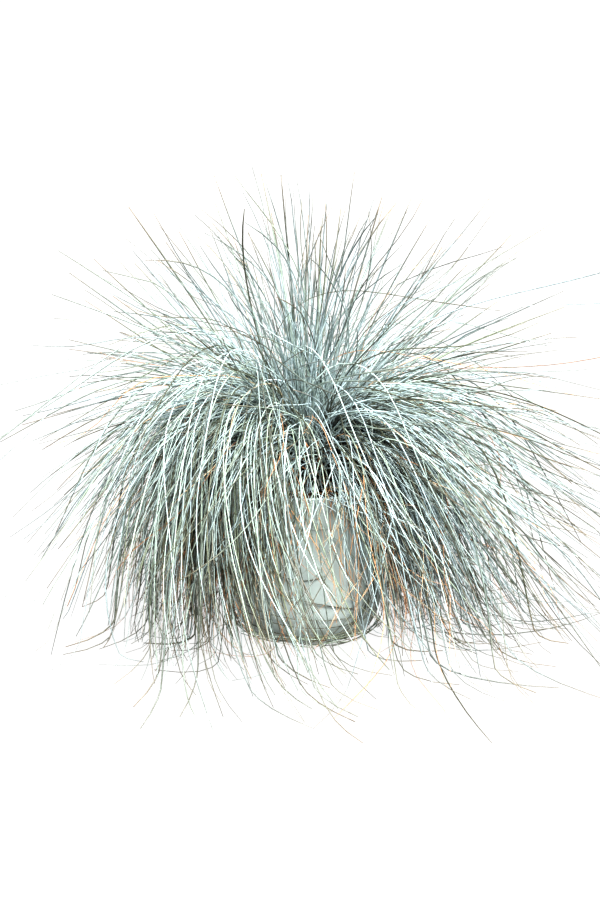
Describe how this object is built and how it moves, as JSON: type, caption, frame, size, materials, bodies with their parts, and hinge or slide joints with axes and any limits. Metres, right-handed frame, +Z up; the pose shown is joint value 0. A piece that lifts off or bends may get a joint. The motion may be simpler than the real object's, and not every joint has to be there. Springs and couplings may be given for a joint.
{
  "type": "potted blue fescue clump",
  "caption": "Ornamental grass clump of fine silvery blue-green blades that stand up in the middle and arch over the rim of a round nursery pot to the ground.",
  "frame": {"origin": "centre of the pot's base, on the surface it stands on", "axes": "+Z up; the front, where the hanging blades part and show the pot, faces -Y"},
  "size_m": [0.5368, 0.5278, 0.4],
  "materials": {
    "pot_plastic": "satin moulded, sage green",
    "potting_soil": "loose dark compost",
    "old_sheaths": "dry fibrous",
    "fescue_blades": "waxy, silvery blue-green"
  },
  "bodies": {
    "root": {"crown": "old_sheaths", "pot": "pot_plastic", "soil": "potting_soil", "tuft_arching_01": "fescue_blades", "tuft_arching_02": "fescue_blades", "tuft_arching_03": "fescue_blades", "tuft_arching_04": "fescue_blades", "tuft_arching_05": "fescue_blades", "tuft_arching_06": "fescue_blades", "tuft_arching_07": "fescue_blades", "tuft_arching_08": "fescue_blades", "tuft_arching_09": "fescue_blades", "tuft_arching_10": "fescue_blades", "tuft_arching_11": "fescue_blades", "tuft_arching_12": "fescue_blades", "tuft_fan_01": "fescue_blades", "tuft_fan_02": "fescue_blades", "tuft_fan_03": "fescue_blades", "tuft_fan_04": "fescue_blades", "tuft_fan_05": "fescue_blades", "tuft_fan_06": "fescue_blades", "tuft_fan_07": "fescue_blades", "tuft_fan_08": "fescue_blades", "tuft_inner_01": "fescue_blades", "tuft_inner_02": "fescue_blades", "tuft_inner_03": "fescue_blades", "tuft_inner_04": "fescue_blades", "tuft_inner_05": "fescue_blades", "tuft_inner_06": "fescue_blades", "tuft_inner_07": "fescue_blades", "tuft_inner_08": "fescue_blades", "tuft_skirt_01": "fescue_blades", "tuft_skirt_02": "fescue_blades", "tuft_skirt_03": "fescue_blades", "tuft_skirt_04": "fescue_blades", "tuft_skirt_05": "fescue_blades", "tuft_skirt_06": "fescue_blades", "tuft_skirt_07": "fescue_blades", "tuft_skirt_08": "fescue_blades", "tuft_skirt_09": "fescue_blades", "tuft_skirt_10": "fescue_blades", "tuft_spread_01": "fescue_blades", "tuft_spread_02": "fescue_blades", "tuft_spread_03": "fescue_blades", "tuft_spread_04": "fescue_blades", "tuft_spread_05": "fescue_blades", "tuft_spread_06": "fescue_blades", "tuft_spread_07": "fescue_blades", "tuft_spread_08": "fescue_blades", "tuft_spread_09": "fescue_blades", "tuft_spread_10": "fescue_blades", "tuft_spread_11": "fescue_blades", "tuft_spread_12": "fescue_blades", "tuft_upright_01": "fescue_blades", "tuft_upright_02": "fescue_blades", "tuft_upright_03": "fescue_blades", "tuft_upright_04": "fescue_blades", "tuft_upright_05": "fescue_blades"}
  },
  "joints": []
}
